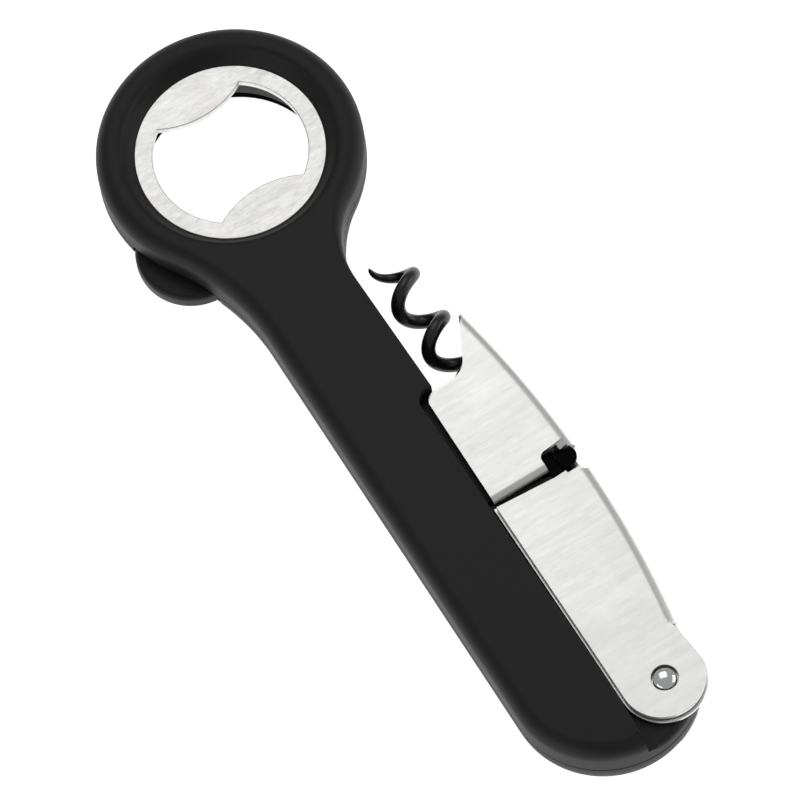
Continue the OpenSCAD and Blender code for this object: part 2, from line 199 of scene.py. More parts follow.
def drawn_in(corners, radii, depth):
    """The corners of an outline at a depth under the face."""
    moved = []
    for i, corner in enumerate(corners):
        before = (corner - corners[i - 1]).normalized()
        after = (corners[(i + 1) % len(corners)] - corner).normalized()
        side0 = Vector((before.y, -before.x))
        side1 = Vector((after.y, -after.x))
        back0 = taken(radii[i - 1], depth)
        back1 = taken(radii[i], depth)
        along = side0.dot(side1)
        if along > 0.95:
            moved.append(corner - (side0 + side1).normalized() * (back0 + back1) / 2)
        else:
            part0 = (back0 - along * back1) / (1 - along ** 2)
            part1 = (back1 - along * back0) / (1 - along ** 2)
            moved.append(corner - side0 * part0 - side1 * part1)
    return moved


def lift(bm, chain, places, closed=True):
    """Extrudes a chain of points and puts each new point in its place."""
    first = 0 if closed else 1
    edges = [bm.edges.get((chain[i - 1], chain[i])) for i in range(first, len(chain))]
    made = bmesh.ops.extrude_edge_only(bm, edges=edges)["geom"]
    fresh = {tuple(v.co): v for v in made if isinstance(v, bmesh.types.BMVert)}
    lifted = [fresh[tuple(v.co)] for v in chain]
    for vert, place in zip(lifted, places):
        vert.co = place
    return lifted


def at_height(corners, z):
    """Plan corners as points at one height."""
    return [Vector((c.x, c.y, z)) for c in corners]


def chain_edges(bm, chain, closed=True):
    """The edges along a chain of points."""
    first = 0 if closed else 1
    return [bm.edges.get((chain[i - 1], chain[i])) for i in range(first, len(chain))]


# %% [markdown]
# The ring's inside is round, so its section is drawn once and spun about the ring's axis. A full
# spin with use_merge closes on itself. The rims of the spun wall are found again by their
# radius, and the flat faces are filled between them and the outline.

# %% Spin a section about an axis
def spin_section(bm, section, x=0, y=0, steps=96):
    """Spins a run of (radius, height) corners right round, about an upright axis."""
    verts = [bm.verts.new((x + r, y, z)) for r, z in section]
    edges = [bm.edges.new(pair) for pair in zip(verts, verts[1:])]
    bmesh.ops.spin(bm, geom=verts + edges, cent=(x, y, 0), axis=(0, 0, 1), angle=2 * pi,
                   steps=steps, use_merge=True)


def rim(bm, radius, z, x=0, y=0):
    """The edges of a spun rim, found by radius and height."""
    found = []
    for edge in bm.edges:
        ends = [v.co for v in edge.verts]
        if all(abs(c.z - z) < 0.001 for c in ends):
            if all(abs(sqrt((c.x - x) ** 2 + (c.y - y) ** 2) - radius) < 0.001 for c in ends):
                found.append(edge)
    return found


def fill(bm, edges):
    """Flat faces between an outline and the holes in it."""
    bmesh.ops.triangle_fill(bm, use_beauty=True, use_dissolve=False, edges=edges)


# %% [markdown]
# The grip is moulded in two halves that meet 9 mm above the back. Both halves share one plan:
# the ring, a hollow neck, straight sides and a round foot, with a straight bay where the worm
# lies. On the lever's side each face steps down to a shelf, so the lever's sides lie over it.
#
# The wall is lifted from the joint line up to the shelf, the shelf is filled, and only the part
# of the outline outside the shelf is lifted on to the face. A fine groove marks the joint.

# %% Plan of the grip
SPLIT_Z = 9
THICK = 16
HEAD_R = 26
NECK_X = 38.06
NECK_R = 45.7
NECK_LOW = (NECK_X, -sqrt((HEAD_R + NECK_R) ** 2 - NECK_X ** 2))
NECK_HIGH = (NECK_X, 24.8)
BAY_Y = 5.4
SIDE_Y = -17.4
FOOT = (133.7, 1.3)
SHELF_END = degrees(atan2(-1.5, 18.64))
FOOT_END = 54.9


def draw_grip(bm, z, edge_r):
    """The whole plan of a grip half. Returns the pen and how many corners lie outside the shelf."""
    high = degrees(atan2(NECK_HIGH[1], NECK_HIGH[0]))
    low = degrees(atan2(NECK_LOW[1], NECK_LOW[0]))
    pen = Pen(bm, bm.verts.new((65.4, BAY_Y, z)))
    pen.line(NECK_X, BAY_Y)
    pen.arc(*NECK_HIGH, high - 90, 14, CRISP, edge_r)
    pen.arc(0, 0, 360 + low - high, 96, edge_r)
    pen.arc(*NECK_LOW, -90 - low, 14, edge_r)
    pen.line(FOOT[0], SIDE_Y, edge_r)
    pen.arc(*FOOT, 90 + SHELF_END, 28, edge_r)
    outside = len(pen.points)
    pen.arc(*FOOT, FOOT_END - SHELF_END, 20, edge_r)
    for x, y in ((111, 16.6), (108, 14.5), (106.8, 7.5), (104.8, BAY_Y)):
        pen.line(x, y)
    for x, y in ((103.1, BAY_Y), (103.1, 1.9), (90.9, 1.9), (90.9, BAY_Y)):
        pen.line(x, y)
    pen.close()
    return pen, outside


# %% Build one grip half
GROOVE = 0.22
GROOVE_RISE = 0.18
SHELF_DEPTH = 3.8


def grip_half(split, face, edge_r, section):
    """One half of the grip, from the joint line to its face."""
    side = 1 if face > split else -1
    bm = bmesh.new()
    pen, outside = draw_grip(bm, split, edge_r)
    wall = pen.points
    corners = [v.co.xy for v in wall]
    groove = drawn_in(corners, [GROOVE] * len(corners), 0)
    for vert, place in zip(wall, groove):
        vert.co.xy = place
    joint_edges = chain_edges(bm, wall)
    wall = lift(bm, wall, at_height(corners, split + side * GROOVE_RISE))
    steps = (edge_r, 0.87 * edge_r, 0.74 * edge_r, 0.6 * edge_r, SHELF_DEPTH)
    for depth in [d for d in steps if d >= SHELF_DEPTH]:
        place = drawn_in(corners, pen.radii, depth)
        wall = lift(bm, wall, at_height(place, face - side * depth))
    step = Pen(bm, wall[outside - 1])
    step.line(149.5, 0.02).line(141, 0.6).line(68, 1.45)
    step.arc(68, 4.05, -90, 6)
    bm.edges.new((step.tip, wall[0]))
    step_line = step.points[1:]
    floor_ring = wall[outside - 1:]
    floor_edges = chain_edges(bm, wall[outside - 1:] + [wall[0]] + step_line[::-1])
    bmesh.ops.contextual_create(bm, geom=floor_edges)
    upper = wall[:outside] + step_line
    plan = corners[:outside] + [v.co.xy for v in step_line]
    radii = pen.radii[:outside - 1] + [CRISP] * (len(step_line) + 1)
    for k in range(1, 13):
        depth = edge_r * (1 - sin(radians(7.5 * k)))
        if depth < SHELF_DEPTH - 0.1:
            place = at_height(drawn_in(plan, radii, depth), face - side * depth)
            upper = lift(bm, upper, place)
    face_edges = chain_edges(bm, upper)
    spin_section(bm, section)
    fill(bm, face_edges + rim(bm, section[0][0], section[0][1]))
    fill(bm, joint_edges + rim(bm, section[-1][0], section[-1][1]))
    foot_edge = [bm.edges.get(pair) for pair in zip(floor_ring[2:20], floor_ring[3:21])]
    bmesh.ops.bevel(bm, geom=foot_edge, offset=1.3, segments=4, affect="EDGES", profile=0.5,
                    material=-1)
    return bm


# %% [markdown]
# The front half has a shallow dished collar round the opener plate and a flat seat under it. The
# back half has a wider mouth that leads a bottle's neck in.

# %% Front half
COLLAR = [(22.3, 16), (21.8, 15.97), (21.3, 15.84), (20.85, 15.58), (20.5, 15.2), (19.2, 13.3),
          (18.95, 12.98), (18.66, 12.8), (18.65, 11.18), (17.5, 11.18), (17.5, 9.18), (17.72, 9)]
FRONT_ROUND = 3.2
front = piece_from(grip_half(SPLIT_Z, THICK, FRONT_ROUND, COLLAR), "grip_front")
even_light(front)
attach(front, "handle")
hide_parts("front_grip")

# %% [markdown]
# The back half also has a slot for the foil cutter and three countersunk holes. A boolean cut is
# the plain way to open them, because they cross the rounded wall. The cutter's arm is drawn once
# as a function, since the room it needs is that same shape, a little larger and turned through
# its travel.

# %% Plan of the foil cutter's arm
LOBE = (11.3, -16.2)
FOIL_PIN = (-8.2, -20)


def arm_pen(gap, turn, z):
    """The arm with its thumb lobe, made larger by gap and turned about its pin by turn degrees."""
    inner = 18.2 - gap
    outer = 24.6 + gap
    lobe_r = 11 + gap
    reach = sqrt(LOBE[0] ** 2 + LOBE[1] ** 2)
    lobe_a = atan2(LOBE[1], LOBE[0])

    def crossing(radius):
        """Half angle at which the lobe crosses a circle round the ring's centre."""
        return (radius ** 2 + reach ** 2 - lobe_r ** 2) / (2 * radius * reach)

    first = lobe_a + acos(crossing(inner))
    last = lobe_a - acos(crossing(outer))
    pin_a = atan2(FOIL_PIN[1], FOIL_PIN[0])
    pen = start_pen(inner * cos(first), inner * sin(first), z)
    pen.arc(0, 0, degrees(pin_a - first), 30)
    pin_r = 3 + gap
    pen.line(FOIL_PIN[0] - pin_r * cos(pin_a), FOIL_PIN[1] - pin_r * sin(pin_a))
    pen.arc(*FOIL_PIN, 160, 12)
    past = pin_a + 0.07
    pen.line(outer * cos(past), outer * sin(past))
    pen.arc(0, 0, degrees(last - past), 12)
    start = atan2(outer * sin(last) - LOBE[1], outer * cos(last) - LOBE[0])
    end = atan2(inner * sin(first) - LOBE[1], inner * cos(first) - LOBE[0])
    pen.arc(*LOBE, degrees(end - start) - 360 / 48, 47)
    pen.close()
    about = Matrix.Translation((*FOIL_PIN, 0))
    spin = about @ Matrix.Rotation(radians(turn), 4, "Z") @ about.inverted()
    bmesh.ops.transform(pen.bm, matrix=spin, verts=pen.bm.verts)
    return pen


# %% Cut one piece with another
def prism(pen, height):
    """A closed solid: the pen's outline, raised by height."""
    face = bmesh.ops.contextual_create(pen.bm, geom=pen.bm.edges[:])["faces"]
    made = bmesh.ops.extrude_face_region(pen.bm, geom=face)["geom"]
    top = [v for v in made if isinstance(v, bmesh.types.BMVert)]
    bmesh.ops.translate(pen.bm, vec=(0, 0, height), verts=top)
    return pen.bm


def cut(piece, tool):
    """Takes the tool's shape out of the piece, and removes the tool."""
    modify(piece, "BOOLEAN", operation="DIFFERENCE", solver="EXACT", object=tool)
    depsgraph = bpy.context.evaluated_depsgraph_get()
    result = bpy.data.meshes.new_from_object(piece.evaluated_get(depsgraph))
    piece.modifiers.clear()
    piece.data = result
    bpy.data.objects.remove(tool)
    bm = bmesh.new()
    bm.from_mesh(result)
    bmesh.ops.remove_doubles(bm, verts=bm.verts, dist=1e-6)
    mark_edges(bm)
    bm.to_mesh(result)
    bm.free()


# %% Back half
MOUTH = [(21.0, 0), (20.6, 0.06), (20.2, 0.28), (17.75, 2.75), (17.56, 3.02), (17.5, 3.3),
         (17.5, 8.82), (17.72, 9)]
BACK_ROUND = 8
SCREWS = ((44, -5), (85, -6), (121, -9))
back = piece_from(grip_half(SPLIT_Z, 0, BACK_ROUND, MOUTH), "grip_back")
for turn in (0, 3, 6, 9):
    cut(back, piece_from(prism(arm_pen(0.3, turn, 4.3), 6), "room"))
slot = start_pen(13, -12, 4.3)
slot.line(8, -17.5).line(8, -34).line(23.6, -34).line(23.6, -10).close()
cut(back, piece_from(prism(slot, 6), "slot"))
for x, y in SCREWS:
    hole = bmesh.new()
    spin_section(hole, [(0, -0.5), (3.3, -0.5), (2.9, 0), (1.1, 2), (1.1, 3.5), (0, 3.5)], x, y, 32)
    cut(back, piece_from(hole, "screw_hole"))
even_light(back)
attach(back, "handle")
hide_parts("back_grip")
print("back half after its cuts:", len(back.data.polygons), "faces")

# %% [markdown]
# The foil cutter's arm is a moulding with softly rounded edges. Its outline is lifted in the
# same way as the grip, inwards and out again, and two thin slots are cut for its wheels.

# %% Foil cutter's arm
def rounded_prism(pen, low, high, edge_r):
    """A closed solid with a rounded edge all round at both faces."""
    bm = pen.bm
    corners = [v.co.xy for v in pen.points]
    radii = [edge_r] * len(corners)
    depths = [edge_r * (1 - sin(radians(18 * k))) for k in range(5, -1, -1)]
    chain = pen.points
    for vert, place in zip(chain, at_height(drawn_in(corners, radii, 0), low)):
        vert.co = place
    ends = chain_edges(bm, chain)
    for depth in depths[1:]:
        chain = lift(bm, chain, at_height(drawn_in(corners, radii, depth), low + depth))
    for depth in depths[::-1]:
        chain = lift(bm, chain, at_height(drawn_in(corners, radii, depth), high - depth))
    fill(bm, ends)
    fill(bm, chain_edges(bm, chain))
    return bm


arm = piece_from(rounded_prism(arm_pen(0, 0, 4.6), 4.6, 8.6, 1.1), "foil_arm_skin")
WHEEL_REACH = 20.7
for angle in (-72, -38):
    disc = bmesh.new()
    wheel_x = WHEEL_REACH * cos(radians(angle))
    wheel_y = WHEEL_REACH * sin(radians(angle))
    spin_section(disc, [(0, 6), (3.3, 6), (3.3, 7.2), (0, 7.2)], wheel_x, wheel_y, 40)
    cut(arm, piece_from(disc, "wheel_slot"))
even_light(arm)
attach(arm, "foil_cutter")
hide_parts("foil_arm")

# %% [markdown]
# The opener plate is stamped from one sheet. Its outline is a circle, and its hole is a circle
# with two broad lips that grip a crown cap. Filling between the two, extruding the sheet's
# thickness and bevelling the edges gives the same fine bright edge that a deburred stamping has.

# %% Opener plate
PLATE_Z = 11.2
PLATE_T = 1.6
PLATE_R = 18.6
LIP_X, LIP_Y = 11.948, 9.233


def plate_bm():
    """The plate with its two lips."""
    lip_a = degrees(atan2(LIP_Y, LIP_X))
    pen = start_pen(LIP_X, LIP_Y, PLATE_Z)
    pen.arc(0, 0, 180 - 2 * lip_a, 30)
    pen.arc(-27.4, 0, -61.75, 20)
    pen.arc(0, 0, 180 - 2 * lip_a, 30)
    pen.arc(27.4, 0, -61.75 * 19 / 20, 19)
    pen.close()
    bmesh.ops.create_circle(pen.bm, segments=128, radius=PLATE_R,
                            matrix=Matrix.Translation((0, 0, PLATE_Z)))
    fill(pen.bm, pen.bm.edges[:])
    made = bmesh.ops.extrude_face_region(pen.bm, geom=pen.bm.faces[:])["geom"]
    top = [v for v in made if isinstance(v, bmesh.types.BMVert)]
    bmesh.ops.translate(pen.bm, vec=(0, 0, PLATE_T), verts=top)
    return pen.bm


plate = piece_from(plate_bm(), "cap_plate")
modify(plate, "BEVEL", width=0.00016, segments=2, limit_method="ANGLE", angle_limit=radians(50))
even_light(plate)
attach(plate, "handle")
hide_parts("opener_plate")

# %% [markdown]
# The lever is folded from sheet. The real one is cut flat and bent over its long curved back, so
# it is drawn the same way: one flat side, then the bend and half of the back, lifted from the
# side's curved edge. A mirror gives the other half, Solidify gives the sheet its thickness on
# the inside, and a fine bevel breaks the cut edges. The ear on the back is trimmed so that it does
# not stand out past the foot.

# %% Fold a sheet over the lever's back
BACK = (92.7, -204.5)
BACK_R = 227
HALF = 6.5
BEND = 2.6


def back_y(radius, x):
    """Height in plan of a circle about the back's centre."""
    return BACK[1] + sqrt(radius ** 2 - (x - BACK[0]) ** 2)


def fold(bm, chain, outer_r, half, bend_r):
    """Lifts a side's curved edge through the bend and on to the middle of the back."""
    def place(vert, out, z):
        away = (vert.co.xy - Vector(BACK)).normalized()
        spot = Vector(BACK) + away * (outer_r - bend_r + out)
        return Vector((spot.x, spot.y, z))

    for k in range(1, 7):
        turn = radians(15 * k)
        height = half - bend_r + bend_r * cos(turn)
        chain = lift(bm, chain, [place(v, bend_r * sin(turn), height) for v in chain], closed=False)
    return lift(bm, chain, [place(v, bend_r, 0) for v in chain], closed=False)


def mirror_and_face(bm):
    """Adds the mirrored half, and turns the sheet's faces outwards."""
    bmesh.ops.mirror(bm, geom=bm.verts[:] + bm.edges[:] + bm.faces[:], axis="Z",
                     matrix=Matrix.Identity(4), merge_dist=0.001)
    bmesh.ops.recalc_face_normals(bm, faces=bm.faces)
    highest = max(bm.faces, key=lambda f: f.calc_center_median().z)
    if highest.normal.z < 0:
        bmesh.ops.reverse_faces(bm, faces=bm.faces)


def as_sheet(piece, wall, trim=None):
    """Gives a folded sheet its thickness, any trimming, and its broken edges."""
    modify(piece, "SOLIDIFY", thickness=wall / 1000, offset=-1)
    if trim:
        cut(piece, trim)
    modify(piece, "BEVEL", width=0.00013, segments=2, limit_method="ANGLE",
           angle_limit=radians(50))
    even_light(piece)


# %% Lower section: cover and channel
EAR = (141.6, 9.8)
PIVOT = (141.8, 10.2)
TRIM = (132.1, 2)
TRIM_R = 18.6


def lower_section(outer_r, half, bend_r, peep, hole_r):
    """One sheet of the lower section, whose edges show by peep past the cover's."""
    flat_r = outer_r - bend_r
    start = back_y(flat_r, 132.3)
    pen = start_pen(132.3, start, half)
    sweep = degrees(atan2(39.6, start - BACK[1]) - atan2(3.2, flat_r))
    pen.arc(*BACK, sweep, 24)
    curved = list(pen.points)
    for x, y in ((95.9, 20.6), (95 - peep, 20.6), (95 - peep, 17.7), (94.4 - peep, 17.6),
                 (94.5 - peep, 15), (93.6 - peep, 2.4 - peep), (130.5, 1.75 - peep),
                 (EAR[0], 1.5 - peep)):
        pen.line(x, y)
    pen.arc(*EAR, 180, 28)
    pen.line(133, 17.4 + peep).line(132.4, 17.25).close()
    bmesh.ops.create_circle(pen.bm, segments=40, radius=hole_r,
                            matrix=Matrix.Translation((*PIVOT, half)))
    fill(pen.bm, pen.bm.edges[:])
    fold(pen.bm, curved, outer_r, half, bend_r)
    mirror_and_face(pen.bm)
    return pen.bm


def past_foot():
    """The space beyond the foot, on the back, where no ear may stand out."""
    first = radians(-12)
    pen = start_pen(TRIM[0] + TRIM_R * cos(first), TRIM[1] + TRIM_R * sin(first), -1)
    pen.arc(*TRIM, 86, 40)
    pen.line(140, 30).line(165, 30).line(165, -5).close()
    return piece_from(prism(pen, 6), "past_foot")


cover_bm = lower_section(BACK_R, HALF, BEND, 0, 2.7)
cover = piece_from(cover_bm, "lever_lower_skin", MIDDLE_Z, False)
as_sheet(cover, 0.8, past_foot())
channel_bm = lower_section(BACK_R - 0.9, 5.2, 1.6, 0.5, 2.1)
channel = piece_from(channel_bm, "channel_skin", MIDDLE_Z, False)
as_sheet(channel, 0.7, past_foot())

# %% [markdown]
# The channel's back ends in a tongue that is rolled round the hinge pin. It starts as a strip
# seen from the side, curls down into the small valley that shows on the lever's back, and wraps
# the pin.

# %% Tongue of the channel
HINGE = (91.4, 19.5)


def tongue_bm():
    """A curled strip between the tip's two knuckles."""
    pen = start_pen(98.5, 22.1, -3.5)
    pen.line(96.4, 22.15).line(95.5, 21.95).line(94.6, 21.5).line(93.8, 21.05).line(93, 20.85)
    pen.line(92.2, 20.95)
    pen.line(HINGE[0], HINGE[1] + 1.5)
    pen.arc(*HINGE, 300, 26)
    pen.line(93.4, 19.95).line(94.2, 20.2).line(95, 20.7).line(95.8, 21.1).line(96.6, 21.25)
    pen.line(98.5, 21.25).close()
    return prism(pen, 7)


tongue = piece_from(tongue_bm(), "channel_tongue", MIDDLE_Z)
modify(tongue, "BEVEL", width=0.00012, segments=2, limit_method="ANGLE", angle_limit=radians(40))
even_light(tongue)
for piece in (cover, channel, tongue):
    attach(piece, "lever_lower")
for piece in (channel, tongue):
    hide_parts("lever_channel")
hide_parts("lever_cover")

# %% [markdown]
# The tip section is the same kind of fold with a pointed nose. The nose cuts across the bend, so
# the back is folded first, from a plain strip, and one plane trims it to the nose's slant. The
# side is then drawn from the corner that the trim left. Where the tip meets the lower section,
# its edge is rolled down, which shows as a soft band of shade beside the seam.

# %% Tip section
NOSE = Vector((54.3, 18.9, 0))
NOSE_END = Vector((57, 17, 0))
SEAM_R = 1.4


def tip_bm():
    """The folding tip: back, bend and one side, then the mirrored half."""
    flat_r = BACK_R - BEND
    sweep = degrees(atan2(BACK[0] - 90.1, flat_r))
    far_end = degrees(atan2(BACK[0] - 53.9, back_y(flat_r, 53.9) - BACK[1]))
    pen = start_pen(90.1, back_y(flat_r, 90.1), HALF)
    pen.arc(*BACK, far_end - sweep, 26)
    fold(pen.bm, list(pen.points), BACK_R, HALF, BEND)
    bm = pen.bm
    slant = (NOSE_END - NOSE).cross(Vector((0, 0, 1))).normalized()
    for point, normal in ((NOSE, slant), (NOSE, Vector((-1, 0, 0)))):
        everything = bm.verts[:] + bm.edges[:] + bm.faces[:]
        bmesh.ops.bisect_plane(bm, geom=everything, plane_co=point, plane_no=normal,
                               clear_outer=True, dist=0.0001)
    side = [v for v in bm.verts if abs(v.co.z - HALF) < 0.0001]
    side.sort(key=lambda v: v.co.x)
    draw = Pen(bm, side[0])
    for x, y in ((57, 17), (58.5, 16.06), (60, 15.2), (61.4, 14.55), (62.7, 14), (63.8, 13.35),
                 (64.6, 12.7), (65.3, 11.8), (65.75, 10.6), (66, 9), (66, 5.2), (66.2, 4.5),
                 (66.7, 3.9), (67.3, 3.5), (68, 3.25), (91, 2.64), (91, 14.9), (90.1, 14.9)):
        draw.line(x, y)
    seam = draw.points[-3:-1]
    draw.arc(90.1, 16.4, -90, 8)
    draw.line(88.6, 20.6).line(90.1, 20.6)
    bm.edges.new((draw.tip, side[-1]))
    outline = draw.points + side[::-1][:-1]
    fill(bm, chain_edges(bm, outline))
    for k in range(1, 7):
        turn = radians(15 * k)
        out = SEAM_R * sin(turn)
        z = HALF - SEAM_R + SEAM_R * cos(turn)
        places = [Vector((91 + out, v.co.y, z)) for v in seam]
        seam = lift(bm, seam, places, closed=False)
    mirror_and_face(bm)
    return bm


tip = piece_from(tip_bm(), "lever_tip_skin", MIDDLE_Z, outwards=False)
as_sheet(tip, 1.0)

# %% [markdown]
# The tip turns on knuckles curled from its own sheet, one on each side of the lower section's
# tongue. Each is a thick hook in plan, lifted to its width.

# %% Knuckles
def knuckle_bm():
    """Two hooks round the hinge pin."""
    pen = start_pen(86.9, 21.55, 3.62)
    pen.line(88.8, 21.5).line(89.7, 21.1)
    pen.line(HINGE[0] - 1.46, HINGE[1] + 0.35)
    pen.arc(*HINGE, 255, 24)
    pen.line(91.1, 21.55).line(90.5, 22.1).line(90, 22.38).line(89.2, 22.4).line(86.9, 22.3).close()
    bm = prism(pen, 0.96)
    bmesh.ops.mirror(bm, geom=bm.verts[:] + bm.edges[:] + bm.faces[:], axis="Z",
                     matrix=Matrix.Identity(4), merge_dist=0.0001)
    return bm


knuckles = piece_from(knuckle_bm(), "tip_knuckles", MIDDLE_Z)
modify(knuckles, "BEVEL", width=0.00015, segments=2, limit_method="ANGLE", angle_limit=radians(40))
even_light(knuckles)
for piece in (tip, knuckles):
    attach(piece, "lever_upper")
    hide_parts("lever_tip")

# %% [markdown]
# The rivet is turned, so half its section is spun. Its head is a low polished dome that sits in
# the cover's wider hole, with a dark gap all round it.

# %% Rivet
HEAD_W = 2.36


def rivet_bm():
    """The rivet's shaft with a domed head at both ends."""
    turns = [radians(a) for a in range(90, -1, -9)]
    dome = [(HEAD_W * cos(a), 5.78 + 1.24 * sin(a)) for a in turns]
    head = [(0, 7.02)] + dome[1:] + [(HEAD_W, 5.7), (1.98, 5.7), (1.98, 0)]
    bm = bmesh.new()
    spin_section(bm, head, *PIVOT, 56)
    bmesh.ops.mirror(bm, geom=bm.verts[:] + bm.edges[:] + bm.faces[:], axis="Z",
                     matrix=Matrix.Identity(4), merge_dist=0.0001)
    return bm


rivet = piece_from(rivet_bm(), "pivot_rivet", MIDDLE_Z)
even_light(rivet)
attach(rivet, "handle")
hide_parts("lever_rivet")

# %% [markdown]
# The worm is one length of wire wound round nothing, which is what lets it screw into a cork
# without tearing it. A ring of points is carried along the winding, one short extrusion at a
# time, square to the path. Its radius grows from the point, and the last half turn closes in to
# the straight shank.

# %% Winding of the worm
WORM_Y = 13.2
PITCH = 11.1
TURNS = 4.5
WIRE_R = 1.4


def ease(t):
    """From 0 to 1 with soft ends."""
    t = min(1, max(0, t))
    return t * t * (3 - 2 * t)


def winding(turn):
    """The wire's centre after so many turns from the point."""
    radius = 3.25 * (1 - ease((turn - TURNS + 0.45) / 0.45))
    angle = 2 * pi * turn + pi
    return Vector((34.1 + turn * PITCH, WORM_Y + radius * cos(angle), radius * sin(angle)))


def worm_bm():
    """A ring of points carried along the winding."""
    bm = bmesh.new()
    turns = [i / 44 for i in range(int(TURNS * 44) + 1)]
    path = [winding(t) for t in turns] + [Vector((93, WORM_Y, 0))]
    thick = [WIRE_R * min(1, 0.1 + 0.9 * sqrt(t / 0.55)) for t in turns] + [WIRE_R]
    ring = bmesh.ops.create_circle(bm, segments=20, radius=1)["verts"]
    start = ring
    base = [v.co.copy() for v in ring]
    for i, centre in enumerate(path):
        ahead = path[min(i + 1, len(path) - 1)] - path[max(i - 1, 0)]
        across = ahead.cross(Vector((0, 0.3, 1))).normalized()
        up = across.cross(ahead.normalized())
        places = [centre + thick[i] * (c.x * across + c.y * up) for c in base]
        if i == 0:
            for vert, place in zip(ring, places):
                vert.co = place
        else:
            ring = lift(bm, ring, places)
    bmesh.ops.contextual_create(bm, geom=chain_edges(bm, start))
    bmesh.ops.contextual_create(bm, geom=chain_edges(bm, ring))
    return bm


worm = piece_from(worm_bm(), "worm_wire", MIDDLE_Z)
even_light(worm)
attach(worm, "worm_body")
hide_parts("worm")

# %% [markdown]
# A finish is a small network of shader nodes. The class below makes one node of any kind with
# one method, and wraps its output so that plain sums such as 1 - mask add the Math nodes.

# %% Shader sums and nodes
class Wire:
    """One output socket that can take part in sums."""

    def __init__(self, finish, socket):
        self.finish = finish
        self.socket = socket

    def sum(self, operation, first, second):
        return self.finish.add("ShaderNodeMath", {"operation": operation}, {0: first, 1: second})

    def __add__(self, other):
        return self.sum("ADD", self, other)

    def __radd__(self, other):
        return self.sum("ADD", other, self)

    def __sub__(self, other):
        return self.sum("SUBTRACT", self, other)

    def __rsub__(self, other):
        return self.sum("SUBTRACT", other, self)

    def __mul__(self, other):
        return self.sum("MULTIPLY", self, other)

    def __rmul__(self, other):
        return self.sum("MULTIPLY", other, self)


class Finish:
    """A material being built, node by node."""

    def __init__(self, name):
        self.material = bpy.data.materials.new(name)
        self.material.use_nodes = True
        self.tree = self.material.node_tree
        self.shader = self.tree.nodes["Principled BSDF"]
        coordinates = self.tree.nodes.new("ShaderNodeTexCoord")
        self.place = Wire(self, coordinates.outputs["Object"])

    def plug(self, node, sockets):
        for key, value in sockets.items():
            if isinstance(value, Wire):
                self.tree.links.new(value.socket, node.inputs[key])
            else:
                node.inputs[key].default_value = value

    def add(self, kind, settings, sockets, out=0):
        node = self.tree.nodes.new(kind)
        for key, value in settings.items():
            setattr(node, key, value)
        self.plug(node, sockets)
        return Wire(self, node.outputs[out])

    def surface(self, **sockets):
        names = {key.replace("_", " "): value for key, value in sockets.items()}
        self.plug(self.shader, names)

    def noise(self, scale, detail=2.0, stretch=(1, 1, 1)):
        """Noise on the piece's own place, with its grain stretched along an axis."""
        moved = self.add("ShaderNodeMapping", {}, {"Vector": self.place, "Scale": stretch})
        return self.add("ShaderNodeTexNoise", {}, {"Vector": moved, "Scale": scale, "Detail": detail})

    def span(self, value, low, high):
        """Stretches the middle of a noise so that it runs from 0 to 1."""
        ends = {"From Min": low, "From Max": high, "Value": value}
        return self.add("ShaderNodeMapRange", {}, ends)

    def shade(self, factor, first, second):
        """A colour between two, by a mask."""
        picked = {"Factor": factor, 6: (*first, 1), 7: (*second, 1)}
        return self.add("ShaderNodeMix", {"data_type": "RGBA"}, picked, out=2)

    def bump(self, height, strength, distance):
        sockets = {"Height": height, "Strength": strength, "Distance": distance}
        return self.add("ShaderNodeBump", {}, sockets)


# %% [markdown]
# Soft-touch plastic is matt, and its face is never quite even. A fine grain bumps the surface,
# and a slower noise makes it a little drier in some places than in others.

# %% Soft-touch plastic
def soft_touch(name, dark, light, rough, gloss=0.3):
    """Black rubbery plastic with a fine moulded grain."""
    finish = Finish(name)
    grain = finish.noise(3400.0, 2.0)
    cloud = finish.span(finish.noise(60.0, 3.0), 0.3, 0.7)
    finish.surface(Base_Color=finish.shade(cloud, dark, light),
                   Roughness=rough + 0.06 * cloud + 0.05 * grain,
                   Normal=finish.bump(grain, 0.4, 0.0001))
    finish.surface(Specular_IOR_Level=gloss)
    return finish.material


grip_finish = soft_touch("soft_touch_grip", (0.0075, 0.0075, 0.008), (0.0115, 0.0115, 0.012), 0.46)
arm_finish = soft_touch("moulded_arm", (0.007, 0.007, 0.0075), (0.011, 0.011, 0.0115), 0.42)
# Near-black with almost no gloss is painted shade: it darkens the hinge block, the hinge caps and the
# washers like the unlit hollow by the hinge.
painted_shade_black = soft_touch("hinge_painted_shade", (0.002, 0.002, 0.002), (0.003, 0.003, 0.003), 0.6, 0.05)
print("plastic finishes made")

# %% [markdown]
# Brushed steel owes its look to thousands of fine parallel scratches. Noise that is stretched
# along the brushing direction draws them: once finely for the scratches and once coarsely for
# broader bands. They vary the colour a little, the roughness more, and bump the surface slightly.

# %% Brushed steel
def brushed(name, stretch, dark, light, rough, depth=0.05):
    """Steel with scratches along the axis that has the smallest stretch."""
    finish = Finish(name)
    wide = tuple(0.22 * s for s in stretch)
    scratch = finish.span(finish.noise(1.0, 3.0, stretch), 0.3, 0.7)
    band = finish.span(finish.noise(1.0, 2.0, wide), 0.35, 0.65)
    worn = finish.span(finish.noise(90.0, 2.0), 0.35, 0.7)
    mask = 0.55 * scratch + 0.3 * band + 0.15 * worn
    finish.surface(Base_Color=finish.shade(mask, dark, light),
                   Roughness=rough + 0.12 * (1 - mask),
                   Normal=finish.bump(scratch, depth, 0.00003))
    finish.surface(Metallic=1.0)
    return finish.material


